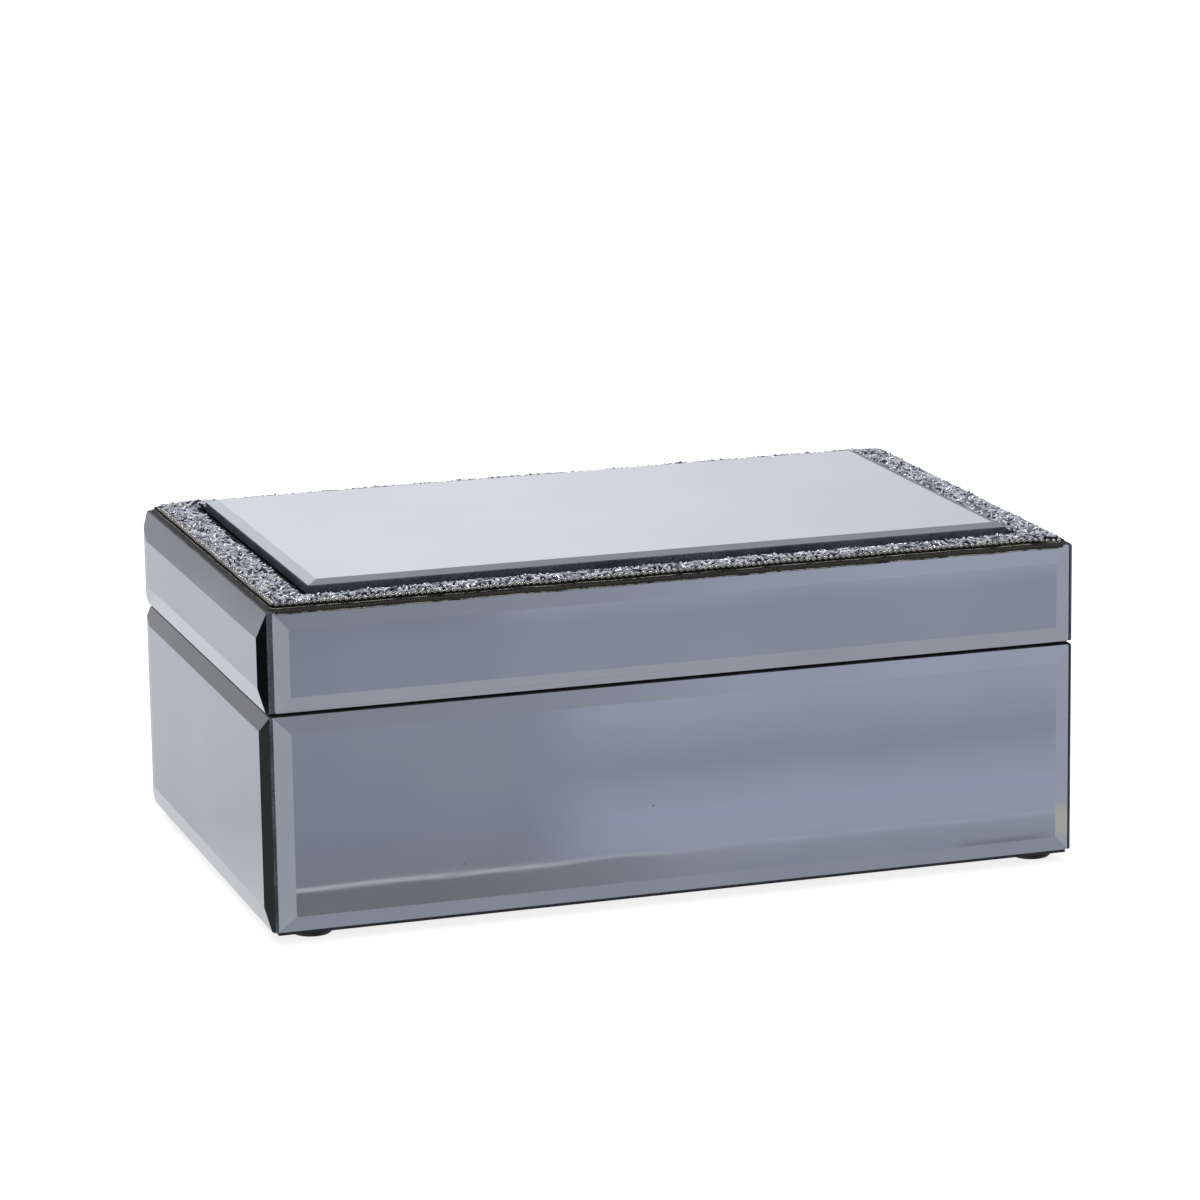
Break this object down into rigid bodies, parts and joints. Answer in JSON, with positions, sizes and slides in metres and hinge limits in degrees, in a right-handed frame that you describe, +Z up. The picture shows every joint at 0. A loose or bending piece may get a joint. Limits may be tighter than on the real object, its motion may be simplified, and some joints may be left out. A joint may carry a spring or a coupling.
{
  "type": "trinket box",
  "caption": "Rectangular trinket box clad in bevelled mirror glass, with a back-hinged lid edged in crushed crystal and a velvet-lined tray.",
  "frame": {"origin": "middle of the box's plan, on the floor it stands on", "axes": "+X to the right along the long side, -Y towards the front, +Z up"},
  "size_m": [0.25, 0.1582, 0.1026],
  "materials": {
    "mirror": "silvered float glass, polished bevels",
    "board": "fibreboard, painted black",
    "velvet": "short-pile velvet",
    "felt": "pressed felt",
    "foot": "satin",
    "crystal": "crushed chips glued on dark cloth",
    "bead": "gunmetal plated",
    "foam": "foam mounting tape",
    "steel": "bright zinc plated"
  },
  "bodies": {
    "base": {"base_bottom_board": "board", "base_front_wall": "board", "base_back_wall": "board", "base_left_wall": "board", "base_right_wall": "board", "base_front_mirror": "mirror", "base_back_mirror": "mirror", "base_left_mirror": "mirror", "base_right_mirror": "mirror", "base_underside_felt": "felt", "foot_front_left": "foot", "foot_front_right": "foot", "foot_back_left": "foot", "foot_back_right": "foot", "base_floor_pad": "velvet", "base_front_lining": "velvet", "base_back_lining": "velvet", "base_left_lining": "velvet", "base_right_lining": "velvet", "hinge_left_base_leaf": "steel", "hinge_left_pin": "steel", "hinge_left_base_screw_1": "steel", "hinge_left_base_screw_2": "steel", "hinge_right_base_leaf": "steel", "hinge_right_pin": "steel", "hinge_right_base_screw_1": "steel", "hinge_right_base_screw_2": "steel"},
    "lid": {"lid_top_board": "board", "lid_front_wall": "board", "lid_back_wall": "board", "lid_left_wall": "board", "lid_right_wall": "board", "lid_front_mirror": "mirror", "lid_back_mirror": "mirror", "lid_left_mirror": "mirror", "lid_right_mirror": "mirror", "lid_pad": "velvet", "lid_front_lining": "velvet", "lid_back_lining": "velvet", "lid_left_lining": "velvet", "lid_right_lining": "velvet", "crystal_tape_front": "crystal", "crystal_tape_back": "crystal", "crystal_tape_left": "crystal", "crystal_tape_right": "crystal", "bead_chain_front": "bead", "bead_chain_back": "bead", "bead_chain_left": "bead", "bead_chain_right": "bead", "plate_foam_tape": "foam", "lid_mirror_plate": "mirror", "hinge_left_lid_leaf": "steel", "hinge_left_lid_screw_1": "steel", "hinge_left_lid_screw_2": "steel", "hinge_right_lid_leaf": "steel", "hinge_right_lid_screw_1": "steel", "hinge_right_lid_screw_2": "steel"}
  },
  "joints": [
    {"name": "lid_hinge", "type": "hinge", "parent": "base", "child": "lid", "pos_m": [0, 0.0769, 0.0677], "axis": [-1, 0, 0], "range_deg": [0, 100]}
  ]
}
